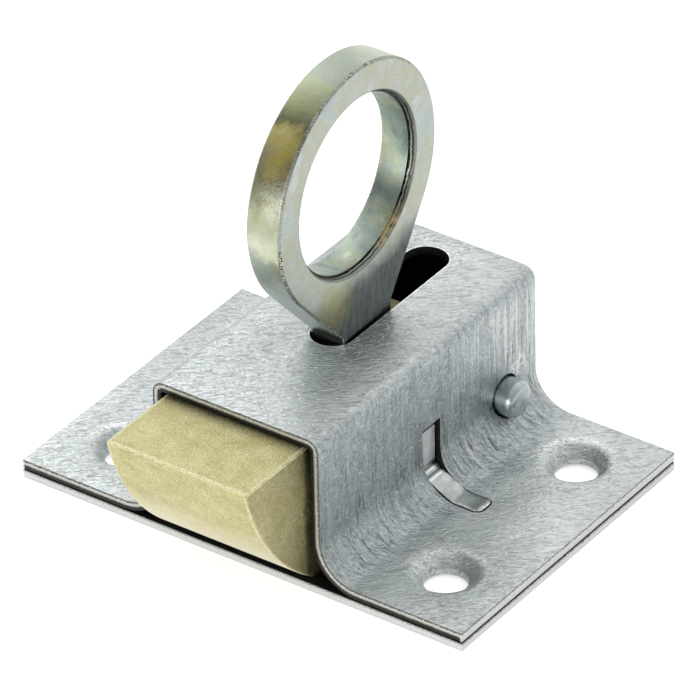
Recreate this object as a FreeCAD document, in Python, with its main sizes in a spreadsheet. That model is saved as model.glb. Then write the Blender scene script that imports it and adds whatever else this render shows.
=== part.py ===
"""Surface-mounted spring latch with a pull ring, for a bottom-hung window.

A pressed sheet case with a raised channel sits on a flat base plate. A die-cast latch bolt slides in
the channel. A compression spring drives it forwards from a cross pin, and a flat steel ring cast into
the bolt stands up through a slot in the case, so that a hand or a pole hook can pull the bolt back.

Frame: X across the plate, Y from the striking edge to the back, Z away from the window frame.
The origin is the centre of the base plate's underside. All sizes are in millimetres.
"""
import FreeCAD, Part
import Sketcher
import os
import re

DRIVING_SIZES = [
    ("plate_width", 60.0, "plate across the bolt"),
    ("plate_depth", 42.0, "plate along the bolt"),
    ("base_sheet", 1.0, "thickness of the base plate"),
    ("case_sheet", 1.1, "thickness of the pressed case"),
    ("seam_gap", 0.25, "gap between base plate and flange"),
    ("channel_width", 22.4, "outside width of the raised channel"),
    ("channel_rise", 17.9, "channel top above the flange"),
    ("shoulder_radius", 1.5, "outer bend at the top of the channel"),
    ("root_radius", 4.7, "concave bend from wall to flange"),
    ("end_wall_gap", 0.15, "gap at the sides and foot of the folded end wall"),
    ("hole_pitch_across", 43.8, "screw holes across the bolt"),
    ("hole_pitch_along", 25.7, "screw holes along the bolt"),
    ("hole_front_margin", 8.6, "front screw holes from the front edge"),
    ("hole_radius", 2.55, "screw hole"),
    ("sink_angle", 45.0, "slope of the pressed countersink"),
    ("sink_depth", 1.3, "depth of the pressed countersink"),
    ("sink_shoulder", 1.5, "rounding of the countersink mouth"),
    ("sink_foot", 0.25, "countersink lip above the mounting face"),
    ("sink_clearance", 0.2, "base plate hole round the countersink"),
    ("slot_width", 5.3, "ring slot in the top"),
    ("slot_front", 16.0, "front end of the ring slot from the front edge"),
    ("slot_end_clearance", 0.1, "ring to the front end of the slot"),
    ("slot_spare", 0.6, "ring to the rear end of the slot at full stroke"),
    ("travel", 11.0, "stroke of the bolt"),
    ("ring_sheet", 4.6, "thickness of the ring plate"),
    ("ring_radius", 14.9, "outside of the ring"),
    ("eye_radius", 10.6, "eye of the ring"),
    ("eye_height", 36.9, "eye centre above the flange"),
    ("eye_lead", 1.1, "eye centre in front of the middle of the neck"),
    ("eye_step", 0.3, "wider mouth of the eye on its punched face"),
    ("eye_step_depth", 0.8, "depth of the wider mouth"),
    ("stem_width", 9.0, "neck of the ring at the slot"),
    ("neck_start", 0.4, "start of the neck's taper above the channel"),
    ("ring_chamfer", 0.3, "broken edges of the ring plate"),
    ("recess_depth", 4.0, "recess in the bolt round the neck of the ring"),
    ("recess_width", 6.4, "width of the recess"),
    ("recess_front", 2.4, "recess in front of the neck"),
    ("tail_depth", 4.0, "tail of the ring below the floor of the recess"),
    ("tail_shoulder", 1.0, "shoulders of the ring that sit on the recess floor"),
    ("key_radius", 1.2, "cast key through the tail"),
    ("bolt_width", 19.0, "latch bolt"),
    ("bolt_tail", 29.5, "rear end of the bolt from the front edge"),
    ("bolt_roof_clearance", 0.2, "bolt to the channel roof"),
    ("bolt_floor_clearance", 0.25, "bolt to the base plate"),
    ("nose_reach", 11.0, "bolt nose in front of the case"),
    ("nose_radius", 29.7, "cam curve of the nose"),
    ("nose_run", 11.9, "length of the cam curve along the bolt"),
    ("bolt_edge", 0.3, "broken edges of the casting"),
    ("pin_radius", 2.25, "cross pin"),
    ("pin_back", 6.2, "pin centre from the rear edge"),
    ("pin_height", 4.2, "pin centre above the flange"),
    ("pin_stand_out", 2.4, "pin end outside the wall"),
    ("pin_nose", 0.9, "rounded nose of the pin ends"),
    ("pin_hole_clearance", 0.3, "pin hole in the wall"),
    ("pin_pass_clearance", 0.6, "bolt over and before the pin"),
    ("spring_radius", 2.9, "outside of the spring"),
    ("spring_wire", 0.8, "spring wire diameter"),
    ("spring_turns", 7.0, "turns of the spring"),
    ("spring_bore_clearance", 0.3, "spring to its bore"),
    ("spring_seat", 5.0, "front seat of the spring from the front edge"),
    ("spring_end_clearance", 0.1, "spring to its seat and to the pin"),
    ("lug_front", 19.9, "front side of the lugs from the front edge"),
    ("lug_width", 2.8, "width of the lugs along the bolt"),
    ("lug_sheet", 1.0, "thickness of the lugs"),
    ("lug_bolt_clearance", 0.2, "lugs to the side of the bolt"),
    ("lug_height", 7.4, "lug top above the flange"),
    ("lug_reach", 7.4, "tongue tip outside the wall"),
    ("lug_crease", 2.6, "crease of the lug above the flange"),
    ("lug_slope_run", 4.3, "sloping part of the tongue"),
    ("lug_slope_radius", 20.0, "curve of the sloping part"),
    ("lug_stand", 0.1, "tongue above the flange"),
    ("lug_corner", 0.9, "rounded corners of the tongue tip"),
    ("lug_window", 8.0, "length of the opening that the lug was lanced from"),
    ("slit_front_clearance", 0.2, "slit edge before the lug"),
    ("slit_back_clearance", 0.4, "slit edge behind the upright part of the lug"),
    ("slit_foot_clearance", 0.15, "slit edge behind the tongue"),
    ("slit_taper_low", 2.0, "lower end of the taper between the two above the flange"),
    ("slit_taper_high", 4.2, "upper end of that taper above the flange"),
    ("slit_top_clearance", 0.9, "slit above the lug"),
    ("slit_tip_clearance", 0.2, "slit past the tip of the tongue"),
]

FRONT = "(-plate_depth / 2)"
FLANGE_UNDER = "(base_sheet + seam_gap)"
FLANGE_TOP = "(base_sheet + seam_gap + case_sheet)"
CHANNEL_TOP = f"({FLANGE_TOP} + channel_rise)"
CHANNEL_ROOF = f"({CHANNEL_TOP} - case_sheet)"
HALF_CHANNEL = "(channel_width / 2)"
INNER_WALL = f"({HALF_CHANNEL} - case_sheet)"
HOLE_SIDE = "(hole_pitch_across / 2)"
HOLE_FRONT = f"({FRONT} + hole_front_margin)"

SINK_CONE_RADIUS = "(hole_radius + (sink_depth - sink_shoulder * (1 - cos(sink_angle))) / tan(sink_angle))"
SINK_MOUTH_RADIUS = f"({SINK_CONE_RADIUS} + sink_shoulder * sin(sink_angle))"
SINK_UNDER_LEVEL = f"({FLANGE_TOP} - sink_depth - case_sheet * cos(sink_angle))"
SINK_FOOT_RADIUS = (
    f"(hole_radius + case_sheet * sin(sink_angle) + (sink_foot - {SINK_UNDER_LEVEL}) / tan(sink_angle))"
)
BASE_HOLE_RADIUS = f"({SINK_FOOT_RADIUS} + (base_sheet - sink_foot) / tan(sink_angle) + sink_clearance)"

STEM_GAP = "(slot_width / 2 - sqrt((slot_width / 2) ^ 2 - (ring_sheet / 2) ^ 2) + slot_end_clearance)"
STEM_MIDDLE = f"({FRONT} + slot_front + {STEM_GAP} + stem_width / 2)"
SLOT_START = f"({FRONT} + slot_front)"
SLOT_END = f"({SLOT_START} + stem_width + travel + 2 * {STEM_GAP} + slot_spare - 2 * slot_end_clearance)"
EYE_LEVEL = f"({FLANGE_TOP} + eye_height)"
EYE_MIDDLE = f"({STEM_MIDDLE} - eye_lead)"

BOLT_TOP = f"({CHANNEL_ROOF} - bolt_roof_clearance)"
RECESS_FLOOR = f"({BOLT_TOP} - recess_depth)"
KEY_LEVEL = f"({RECESS_FLOOR} - tail_depth / 2)"
BOLT_FLOOR = "(base_sheet + bolt_floor_clearance)"
BOLT_REAR = f"({FRONT} + bolt_tail)"
NOSE_TIP = f"({FRONT} - nose_reach)"
PIN_MIDDLE = "(plate_depth / 2 - pin_back)"
PIN_LEVEL = f"({FLANGE_TOP} + pin_height)"
STEP_FRONT = f"({PIN_MIDDLE} - pin_radius - pin_pass_clearance - travel)"
STEP_LEVEL = f"({PIN_LEVEL} + pin_radius + pin_pass_clearance)"
BORE_END = f"({FRONT} + spring_seat)"

LUG_INNER = "(bolt_width / 2 + lug_bolt_clearance)"
LUG_OUTER = f"({LUG_INNER} + lug_sheet)"
LUG_TIP = f"({HALF_CHANNEL} + lug_reach)"
LUG_START = f"({FRONT} + lug_front)"
LUG_FLAT = f"({FLANGE_TOP} + lug_stand)"
SLIT_TIP = f"({LUG_TIP} + slit_tip_clearance)"

doc = FreeCAD.newDocument("WindowLatch")
sizes = doc.addObject("Spreadsheet::Sheet", "Sizes")
for row, (alias, number, meaning) in enumerate(DRIVING_SIZES, start=1):
    sizes.set(f"A{row}", meaning)
    sizes.set(f"B{row}", str(number))
    sizes.setAlias(f"B{row}", alias)
doc.recompute()

SIZE_WORD = re.compile(r"\b(" + "|".join(alias for alias, _, _ in DRIVING_SIZES) + r")\b")


def bound(expression):
    """Point each size that an expression names at its cell."""
    return SIZE_WORD.sub(r"Sizes.\1", expression)


def value(expression):
    """The number that an expression has at the present sizes."""
    return float(sizes.evalExpression(bound(expression)))


def bind(thing, **expressions):
    """Bind properties to expressions. Two underscores stand for a dot in a property's path."""
    for name, expression in expressions.items():
        thing.setExpression(name.replace("__", "."), bound(expression))


def new_body(label):
    body = doc.addObject("PartDesign::Body", label + "_body")
    body.Label = label
    return body


def origin_feature(body, role):
    return next(feature for feature in body.Origin.OriginFeatures if feature.Role == role)


def new_sketch(body, name, plane, **offset):
    """A sketch on an origin plane of its body, offset by bound distances x, y and z in that plane."""
    sketch = body.newObject("Sketcher::SketchObject", name)
    sketch.AttachmentSupport = [(origin_feature(body, plane), "")]
    sketch.MapMode = "FlatFace"
    for axis, expression in offset.items():
        bind(sketch, **{f"AttachmentOffset__Base__{axis}": expression})
    return sketch


def fix_point(sketch, element, end, across, up):
    """Hold a point of a sketch element at bound distances from the sketch's origin."""
    for kind, axis, expression in (("DistanceX", -2, across), ("DistanceY", -1, up)):
        distance = value(expression)
        if abs(distance) < 1e-9:
            sketch.addConstraint(Sketcher.Constraint("PointOnObject", element, end, axis))
        else:
            number = sketch.addConstraint(Sketcher.Constraint(kind, -1, 1, element, end, distance))
            sketch.setExpression(f"Constraints[{number}]", bound(expression))


def fix_radius(sketch, element, radius):
    number = sketch.addConstraint(Sketcher.Constraint("Radius", element, value(radius)))
    sketch.setExpression(f"Constraints[{number}]", bound(radius))


def draw_circle(sketch, across, up, radius):
    centre = FreeCAD.Vector(value(across), value(up), 0)
    circle = sketch.addGeometry(Part.Circle(centre, FreeCAD.Vector(0, 0, 1), value(radius)))
    fix_point(sketch, circle, 3, across, up)
    fix_radius(sketch, circle, radius)


def draw_outline(sketch, corners):
    """Draw a closed outline through corners (x, y). A corner (x, y, radius, turn) is followed by an arc
    of that radius, which turns left for +1 and right for -1 and stays under half a circle."""
    points = [FreeCAD.Vector(value(corner[0]), value(corner[1]), 0) for corner in corners]
    sides = []
    for number, corner in enumerate(corners):
        start, stop = points[number], points[(number + 1) % len(points)]
        if len(corner) == 2:
            element = sketch.addGeometry(Part.LineSegment(start, stop))
            begin_end, stop_end = 1, 2
        else:
            radius, turn = value(corner[2]), corner[3]
            chord = stop - start
            left = FreeCAD.Vector(-chord.y, chord.x, 0).normalize()
            rise = (radius ** 2 - (chord.Length / 2) ** 2) ** 0.5
            circle = Part.Circle((start + stop) / 2 + left * turn * rise, FreeCAD.Vector(0, 0, 1), radius)
            first, last = (start, stop) if turn > 0 else (stop, start)
            arc = Part.ArcOfCircle(circle, circle.parameter(first), circle.parameter(last))
            element = sketch.addGeometry(arc)
            fix_radius(sketch, element, corner[2])
            begin_end, stop_end = (1, 2) if turn > 0 else (2, 1)
        fix_point(sketch, element, begin_end, corner[0], corner[1])
        sides.append((element, begin_end, stop_end))
    for number, (element, _, stop_end) in enumerate(sides):
        following, begin_end, _ = sides[(number + 1) % len(sides)]
        sketch.addConstraint(Sketcher.Constraint("Coincident", element, stop_end, following, begin_end))


def draw_rectangle(sketch, left, right, low, high):
    draw_outline(sketch, [(left, low), (right, low), (right, high), (left, high)])


def both_sides(half):
    """Complete the right half of an outline with its mirror image."""
    mirrored = []
    for number in range(len(half) - 1, -1, -1):
        across, up = half[number][:2]
        bend = half[number - 1][2:] if number else ()
        mirrored.append((f"(-{across})", up) + tuple(bend))
    return half + mirrored


def add_feature(body, kind, name, sketch, length, reverse=False):
    feature = body.newObject("PartDesign::" + kind, name)
    feature.Profile = sketch
    feature.Reversed = reverse
    bind(feature, Length=length)
    doc.recompute()
    return feature


def revolve(body, name, sketch, axis):
    feature = body.newObject("PartDesign::Revolution", name)
    feature.Profile = sketch
    feature.ReferenceAxis = (sketch, [axis])
    feature.Angle = 360
    doc.recompute()
    return feature


def edges_where(shape, test):
    """Names of the edges whose middle point and direction pass a test."""
    names = []
    for number, edge in enumerate(shape.Edges, start=1):
        first, last = edge.ParameterRange
        middle = edge.valueAt((first + last) / 2)
        if test(edge, middle):
            names.append(f"Edge{number}")
    return names


def dress_edges(body, kind, name, test, **size):
    """Fillet or chamfer the edges of the body's last feature that pass a test."""
    base = body.Tip
    feature = body.newObject("PartDesign::" + kind, name)
    feature.Base = (base, edges_where(base.Shape, test))
    bind(feature, **size)
    doc.recompute()
    return feature


def round_edges(body, name, radius, test):
    return dress_edges(body, "Fillet", name, test, Radius=radius)


def close(a, b):
    return abs(a - b) < 1e-4


def is_upright(edge):
    return edge.Curve.TypeId == "Part::GeomLine" and abs(edge.Curve.Direction.z) > 0.999


def make_case():
    """Pressed sheet: flange, concave roots and raised channel in one hat-shaped section."""
    body = new_body("latch_case")
    section = new_sketch(body, "CaseSection", "XZ_Plane", z=FRONT)
    draw_outline(section, both_sides([
        (f"({HALF_CHANNEL} - shoulder_radius)", CHANNEL_TOP, "shoulder_radius", -1),
        (HALF_CHANNEL, f"({CHANNEL_TOP} - shoulder_radius)"),
        (HALF_CHANNEL, f"({FLANGE_TOP} + root_radius)", "root_radius", 1),
        (f"({HALF_CHANNEL} + root_radius)", FLANGE_TOP),
        ("(plate_width / 2)", FLANGE_TOP),
        ("(plate_width / 2)", FLANGE_UNDER),
        (f"({HALF_CHANNEL} + root_radius)", FLANGE_UNDER, "(root_radius + case_sheet)", -1),
        (INNER_WALL, f"({FLANGE_TOP} + root_radius)"),
        (INNER_WALL, f"({CHANNEL_TOP} - shoulder_radius)", "(shoulder_radius - case_sheet)", 1),
        (f"({HALF_CHANNEL} - shoulder_radius)", CHANNEL_ROOF),
    ]))
    add_feature(body, "Pad", "CaseSheet", section, "plate_depth")

    wall = new_sketch(body, "EndWallOutline", "XZ_Plane", z="(-plate_depth / 2)")
    draw_rectangle(wall, f"(-({INNER_WALL} - end_wall_gap))", f"({INNER_WALL} - end_wall_gap)",
                   f"({FLANGE_UNDER} + end_wall_gap)", f"({CHANNEL_ROOF} + case_sheet / 2)")
    add_feature(body, "Pad", "EndWall", wall, "case_sheet")

    slot = new_sketch(body, "RingSlotOutline", "XY_Plane", z=CHANNEL_TOP)
    half = "(slot_width / 2)"
    start, end = f"({SLOT_START} + {half})", f"({SLOT_END} - {half})"
    draw_outline(slot, [
        (half, start), (half, end, half, 1), ("0", SLOT_END, half, 1),
        (f"(-{half})", end), (f"(-{half})", start, half, 1), ("0", SLOT_START, half, 1),
    ])
    add_feature(body, "Pocket", "RingSlot", slot, "2 * case_sheet")

    slit = new_sketch(body, "SlitOutline", "YZ_Plane", z=SLIT_TIP)
    lug_end, slit_top = f"{LUG_START} + lug_width", f"({FLANGE_TOP} + lug_height + slit_top_clearance)"
    draw_outline(slit, [
        (f"({LUG_START} - slit_front_clearance)", "0"),
        (f"({lug_end} + slit_foot_clearance)", "0"),
        (f"({lug_end} + slit_foot_clearance)", f"({FLANGE_TOP} + slit_taper_low)"),
        (f"({lug_end} + slit_back_clearance)", f"({FLANGE_TOP} + slit_taper_high)"),
        (f"({lug_end} + slit_back_clearance)", slit_top),
        (f"({LUG_START} - slit_front_clearance)", slit_top),
    ])
    add_feature(body, "Pocket", "LugSlits", slit, f"2 * {SLIT_TIP}")
    slit_tip = value(SLIT_TIP)
    round_edges(body, "SlitCorners", "(lug_corner + slit_tip_clearance)",
                lambda edge, middle: is_upright(edge) and close(abs(middle.x), slit_tip))

    pin_hole = new_sketch(body, "PinHoleOutline", "YZ_Plane", z=f"({HALF_CHANNEL} + root_radius)")
    draw_circle(pin_hole, PIN_MIDDLE, PIN_LEVEL, "(pin_radius + pin_hole_clearance)")
    add_feature(body, "Pocket", "PinHoles", pin_hole, f"2 * ({HALF_CHANNEL} + root_radius)")

    mouth = new_sketch(body, "SinkMouthOutline", "XY_Plane", z=FLANGE_TOP)
    draw_circle(mouth, HOLE_SIDE, HOLE_FRONT, SINK_MOUTH_RADIUS)
    opening = add_feature(body, "Pocket", "SinkMouth", mouth, "2 * case_sheet")

    sink = new_sketch(body, "SinkSection", "XZ_Plane", x=HOLE_SIDE, z=f"(-{HOLE_FRONT})")
    draw_outline(sink, [
        (SINK_MOUTH_RADIUS, FLANGE_UNDER),
        (SINK_MOUTH_RADIUS, FLANGE_TOP, "sink_shoulder", 1),
        (SINK_CONE_RADIUS, f"({FLANGE_TOP} - sink_shoulder * (1 - cos(sink_angle)))"),
        ("hole_radius", f"({FLANGE_TOP} - sink_depth)"),
        ("hole_radius", "sink_foot"),
        (SINK_FOOT_RADIUS, "sink_foot"),
        (f"({SINK_MOUTH_RADIUS} - (sink_shoulder - case_sheet) * sin(sink_angle))",
         f"({FLANGE_TOP} - sink_shoulder + (sink_shoulder - case_sheet) * cos(sink_angle))",
         "(sink_shoulder - case_sheet)", -1),
    ])
    pressed = revolve(body, "PressedSink", sink, "V_Axis")

    across = body.newObject("PartDesign::Mirrored", "SinksAcross")
    across.MirrorPlane = (origin_feature(body, "YZ_Plane"), [""])
    along = body.newObject("PartDesign::LinearPattern", "SinksAlong")
    along.Direction = (origin_feature(body, "Y_Axis"), [""])
    bind(along, Length="hole_pitch_along")
    along.Occurrences = 2
    pattern = body.newObject("PartDesign::MultiTransform", "Sinks")
    pattern.Originals = [opening, pressed]
    pattern.Transformations = [across, along]
    body.Tip = pattern
    doc.recompute()
    return body


def make_base_plate():
    """Flat plate under the case, with two lugs lanced up from it into the slits of the case."""
    body = new_body("base_plate")
    blank = new_sketch(body, "BaseOutline", "XY_Plane")
    draw_rectangle(blank, "(-plate_width / 2)", "(plate_width / 2)", FRONT, "(plate_depth / 2)")
    add_feature(body, "Pad", "BaseSheet", blank, "base_sheet")

    holes = new_sketch(body, "BaseHoleOutlines", "XY_Plane", z="base_sheet")
    for across in (HOLE_SIDE, f"(-{HOLE_SIDE})"):
        for along in (HOLE_FRONT, f"({HOLE_FRONT} + hole_pitch_along)"):
            draw_circle(holes, across, along, BASE_HOLE_RADIUS)
    add_feature(body, "Pocket", "BaseHoles", holes, "2 * base_sheet")

    windows = new_sketch(body, "LugWindowOutlines", "XY_Plane", z="base_sheet")
    for near, far in ((f"({LUG_INNER} - lug_window)", LUG_INNER),
                      (f"(-{LUG_INNER})", f"(-({LUG_INNER} - lug_window))")):
        draw_rectangle(windows, near, far, LUG_START, f"({LUG_START} + lug_width)")
    add_feature(body, "Pocket", "LugWindows", windows, "2 * base_sheet")

    lug = new_sketch(body, "LugSection", "XZ_Plane", z=f"(-({LUG_START} + lug_width))")
    slope_end = f"({LUG_OUTER} + lug_slope_run)"
    draw_outline(lug, [
        (LUG_INNER, "0"),
        (LUG_OUTER, "0"),
        (LUG_OUTER, f"({FLANGE_TOP} + lug_crease - lug_sheet)", "lug_slope_radius", 1),
        (f"({slope_end} - lug_sheet / 2)", f"({LUG_FLAT} - lug_sheet)"),
        (LUG_TIP, f"({LUG_FLAT} - lug_sheet)"),
        (LUG_TIP, LUG_FLAT),
        (slope_end, LUG_FLAT, "lug_slope_radius", -1),
        (LUG_OUTER, f"({FLANGE_TOP} + lug_crease)"),
        (LUG_OUTER, f"({FLANGE_TOP} + lug_height)"),
        (LUG_INNER, f"({FLANGE_TOP} + lug_height)"),
    ])
    raised = add_feature(body, "Pad", "Lug", lug, "lug_width")
    mirror = body.newObject("PartDesign::Mirrored", "LugsBothSides")
    mirror.Originals = [raised]
    mirror.MirrorPlane = (origin_feature(body, "YZ_Plane"), [""])
    body.Tip = mirror
    doc.recompute()
    tip = value(LUG_TIP)
    round_edges(body, "TongueCorners", "lug_corner",
                lambda edge, middle: is_upright(edge) and close(abs(middle.x), tip))
    return body


def make_latch_bolt():
    """Die-cast block with a cam nose, a spring bore and a raised tail that passes over the pin."""
    body = new_body("latch_bolt")
    side = new_sketch(body, "BoltSide", "YZ_Plane", z="(-bolt_width / 2)")
    draw_outline(side, [
        (NOSE_TIP, BOLT_TOP, "nose_radius", 1),
        (f"({NOSE_TIP} + nose_run)", BOLT_FLOOR),
        (STEP_FRONT, BOLT_FLOOR),
        (STEP_FRONT, STEP_LEVEL),
        (BOLT_REAR, STEP_LEVEL),
        (BOLT_REAR, BOLT_TOP),
    ])
    add_feature(body, "Pad", "BoltBlock", side, "bolt_width")
    half_width, tip, top = value("bolt_width / 2"), value(NOSE_TIP), value(BOLT_TOP)
    floor, curve_end = value(BOLT_FLOOR), value(f"{NOSE_TIP} + nose_run")

    def is_worn_edge(edge, middle):
        on_side = close(abs(middle.x), half_width)
        on_top = close(middle.z, top)
        on_curve = on_side and middle.y < curve_end and middle.z > floor + 0.01 and not on_top
        return (on_side and on_top) or on_curve or (on_top and close(middle.y, tip))

    round_edges(body, "BoltEdges", "bolt_edge", is_worn_edge)

    bore = new_sketch(body, "SpringBoreOutline", "XZ_Plane", z=f"(-{STEP_FRONT})")
    draw_circle(bore, "0", PIN_LEVEL, "(spring_radius + spring_bore_clearance)")
    add_feature(body, "Pocket", "SpringBore", bore, f"({STEP_FRONT} - {BORE_END})", reverse=True)

    recess = new_sketch(body, "NeckRecessOutline", "XY_Plane", z=BOLT_TOP)
    draw_rectangle(recess, "(-recess_width / 2)", "(recess_width / 2)",
                   f"({STEM_MIDDLE} - stem_width / 2 - recess_front)", f"({STEM_MIDDLE} + stem_width / 2)")
    add_feature(body, "Pocket", "NeckRecess", recess, "recess_depth")

    seat = new_sketch(body, "TailSeatOutline", "XY_Plane", z=RECESS_FLOOR)
    half_tail = "(stem_width / 2 - tail_shoulder)"
    draw_rectangle(seat, "(-ring_sheet / 2)", "(ring_sheet / 2)",
                   f"({STEM_MIDDLE} - {half_tail})", f"({STEM_MIDDLE} + {half_tail})")
    add_feature(body, "Pocket", "TailSeat", seat, "tail_depth")

    key = new_sketch(body, "TailKeyOutline", "YZ_Plane", z="(-ring_sheet / 2)")
    draw_circle(key, STEM_MIDDLE, KEY_LEVEL, "key_radius")
    add_feature(body, "Pad", "TailKey", key, "ring_sheet")
    return body


def make_pull_ring():
    """Flat steel ring with a tapered neck. Its tail is cast into the bolt and held by the key."""
    body = new_body("pull_ring")
    start = "(-ring_sheet / 2)"
    disc = new_sketch(body, "RingOutline", "YZ_Plane", z=start)
    draw_circle(disc, EYE_MIDDLE, EYE_LEVEL, "ring_radius")
    add_feature(body, "Pad", "RingDisc", disc, "ring_sheet")

    half, drop = "(stem_width / 2)", "(eye_height - channel_rise - neck_start)"

    def tangent_point(side):
        """Where the line from a neck corner, side away from the eye's middle, touches the ring."""
        square = f"({side} ^ 2 + {drop} ^ 2)"
        tangent = f"sqrt({square} - ring_radius ^ 2)"
        return (f"((ring_radius ^ 2 * {side} + ring_radius * {tangent} * {drop}) / {square})",
                f"({EYE_LEVEL} + (ring_radius * {tangent} * {side} - ring_radius ^ 2 * {drop}) / {square})")

    rear_touch, rear_level = tangent_point(f"({half} + eye_lead)")
    front_touch, front_level = tangent_point(f"({half} - eye_lead)")
    neck_level = f"({CHANNEL_TOP} + neck_start)"
    half_tail = f"({half} - tail_shoulder)"
    neck = new_sketch(body, "NeckOutline", "YZ_Plane", z=start)
    draw_outline(neck, [
        (f"({EYE_MIDDLE} + {rear_touch})", rear_level),
        (f"({EYE_MIDDLE} - {front_touch})", front_level),
        (f"({STEM_MIDDLE} - {half})", neck_level),
        (f"({STEM_MIDDLE} - {half})", RECESS_FLOOR),
        (f"({STEM_MIDDLE} - {half_tail})", RECESS_FLOOR),
        (f"({STEM_MIDDLE} - {half_tail})", f"({RECESS_FLOOR} - tail_depth)"),
        (f"({STEM_MIDDLE} + {half_tail})", f"({RECESS_FLOOR} - tail_depth)"),
        (f"({STEM_MIDDLE} + {half_tail})", RECESS_FLOOR),
        (f"({STEM_MIDDLE} + {half})", RECESS_FLOOR),
        (f"({STEM_MIDDLE} + {half})", neck_level),
    ])
    add_feature(body, "Pad", "Neck", neck, "ring_sheet")

    eye = new_sketch(body, "EyeOutline", "YZ_Plane", z="(ring_sheet / 2)")
    draw_circle(eye, EYE_MIDDLE, EYE_LEVEL, "eye_radius")
    draw_circle(eye, STEM_MIDDLE, KEY_LEVEL, "key_radius")
    add_feature(body, "Pocket", "EyeAndKeyHole", eye, "ring_sheet")
    mouth = new_sketch(body, "EyeMouthOutline", "YZ_Plane", z="(ring_sheet / 2)")
    draw_circle(mouth, EYE_MIDDLE, EYE_LEVEL, "(eye_radius + eye_step)")
    add_feature(body, "Pocket", "EyeMouth", mouth, "eye_step_depth")

    half_sheet, neck_height = value("ring_sheet / 2"), value(neck_level)
    dress_edges(body, "Chamfer", "RingEdges",
                lambda edge, middle: close(abs(middle.x), half_sheet) and middle.z > neck_height + 0.2,
                Size="ring_chamfer")
    return body


def make_cross_pin():
    """Plain pin through both walls, with rounded noses."""
    body = new_body("cross_pin")
    section = new_sketch(body, "PinSection", "XZ_Plane", y=PIN_LEVEL, z=f"(-{PIN_MIDDLE})")
    end = f"({HALF_CHANNEL} + pin_stand_out)"
    draw_outline(section, [
        (f"(-{end})", "0"), (end, "0"), (end, "(pin_radius - pin_nose)", "pin_nose", 1),
        (f"({end} - pin_nose)", "pin_radius"),
        (f"(-({end} - pin_nose))", "pin_radius", "pin_nose", 1),
        (f"(-{end})", "(pin_radius - pin_nose)"),
    ])
    revolve(body, "Pin", section, "H_Axis")
    return body


def make_bolt_spring():
    """Compression spring from the end of the bore to the cross pin. Its wire is drawn with eight sides."""
    start = f"({BORE_END} + spring_end_clearance + spring_wire / 2)"
    end = f"({PIN_MIDDLE} - pin_radius - spring_end_clearance - spring_wire / 2)"
    coil = doc.addObject("Part::Helix", "SpringCoil")
    bind(coil, Radius="spring_radius - spring_wire / 2", Height=f"({end} - {start})",
         Pitch=f"({end} - {start}) / spring_turns")
    wire = doc.addObject("Part::RegularPolygon", "SpringWire")
    wire.Polygon = 8
    wire.Placement.Rotation = FreeCAD.Rotation(FreeCAD.Vector(1, 0, 0), 90)
    bind(wire, Circumradius="spring_wire / 2", Placement__Base__x="spring_radius - spring_wire / 2")
    doc.recompute()
    spring = doc.addObject("Part::Sweep", "bolt_spring_sweep")
    spring.Label = "bolt_spring"
    spring.Sections = [wire]
    spring.Spine = (coil, [f"Edge{number + 1}" for number in range(len(coil.Shape.Edges))])
    spring.Solid = True
    spring.Frenet = True
    spring.Placement.Rotation = FreeCAD.Rotation(FreeCAD.Vector(1, 0, 0), -90)
    bind(spring, Placement__Base__y=start, Placement__Base__z=PIN_LEVEL)
    doc.recompute()
    return spring


parts = [make_case(), make_base_plate(), make_latch_bolt(),
         make_pull_ring(), make_cross_pin(), make_bolt_spring()]
doc.recompute()

for thing in doc.Objects:
    if "Invalid" in thing.State or "Error" in thing.State:
        raise SystemExit(f"{thing.Name} failed: {thing.State}")
for part in parts:
    if part.Shape.isNull() or not part.Shape.isValid() or len(part.Shape.Solids) != 1:
        raise SystemExit(f"{part.Label} is not one valid solid")

os.makedirs("parts", exist_ok=True)
for part in parts:
    box = part.Shape.BoundBox
    part.Shape.exportStep(f"parts/{part.Label}.step")
    print(f"{part.Label}: {part.Shape.Volume:.1f} mm3, X {box.XMin:.2f} {box.XMax:.2f}, "
          f"Y {box.YMin:.2f} {box.YMax:.2f}, Z {box.ZMin:.2f} {box.ZMax:.2f}")
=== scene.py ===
# %% [markdown]
# # A window latch, dressed piece by piece
# The latch is a small piece of hardware: a pressed galvanised case on a flat plate, a brass-toned bolt,
# a passivated pull ring, a pin and a spring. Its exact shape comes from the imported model. This script
# gives each piece the broken edges, marks and finish of the real one, then lights and frames it.

# %% Load the fixed frame
import math
import bmesh
import bpy
from mathutils import Matrix, Vector


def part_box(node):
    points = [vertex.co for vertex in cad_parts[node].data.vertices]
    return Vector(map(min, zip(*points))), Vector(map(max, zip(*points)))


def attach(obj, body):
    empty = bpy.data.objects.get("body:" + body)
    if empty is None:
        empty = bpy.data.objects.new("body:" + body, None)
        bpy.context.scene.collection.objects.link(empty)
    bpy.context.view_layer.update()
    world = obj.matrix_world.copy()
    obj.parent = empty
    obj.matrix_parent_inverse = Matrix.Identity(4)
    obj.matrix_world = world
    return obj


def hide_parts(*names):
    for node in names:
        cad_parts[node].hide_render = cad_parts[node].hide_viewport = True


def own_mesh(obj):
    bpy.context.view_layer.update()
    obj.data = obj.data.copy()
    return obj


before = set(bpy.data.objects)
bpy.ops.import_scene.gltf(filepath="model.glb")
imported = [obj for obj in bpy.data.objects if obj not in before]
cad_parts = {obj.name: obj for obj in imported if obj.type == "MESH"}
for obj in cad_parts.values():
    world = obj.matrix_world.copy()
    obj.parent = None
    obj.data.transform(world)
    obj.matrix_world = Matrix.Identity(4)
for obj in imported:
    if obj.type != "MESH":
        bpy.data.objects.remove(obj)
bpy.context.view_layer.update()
MM = 0.001
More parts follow.
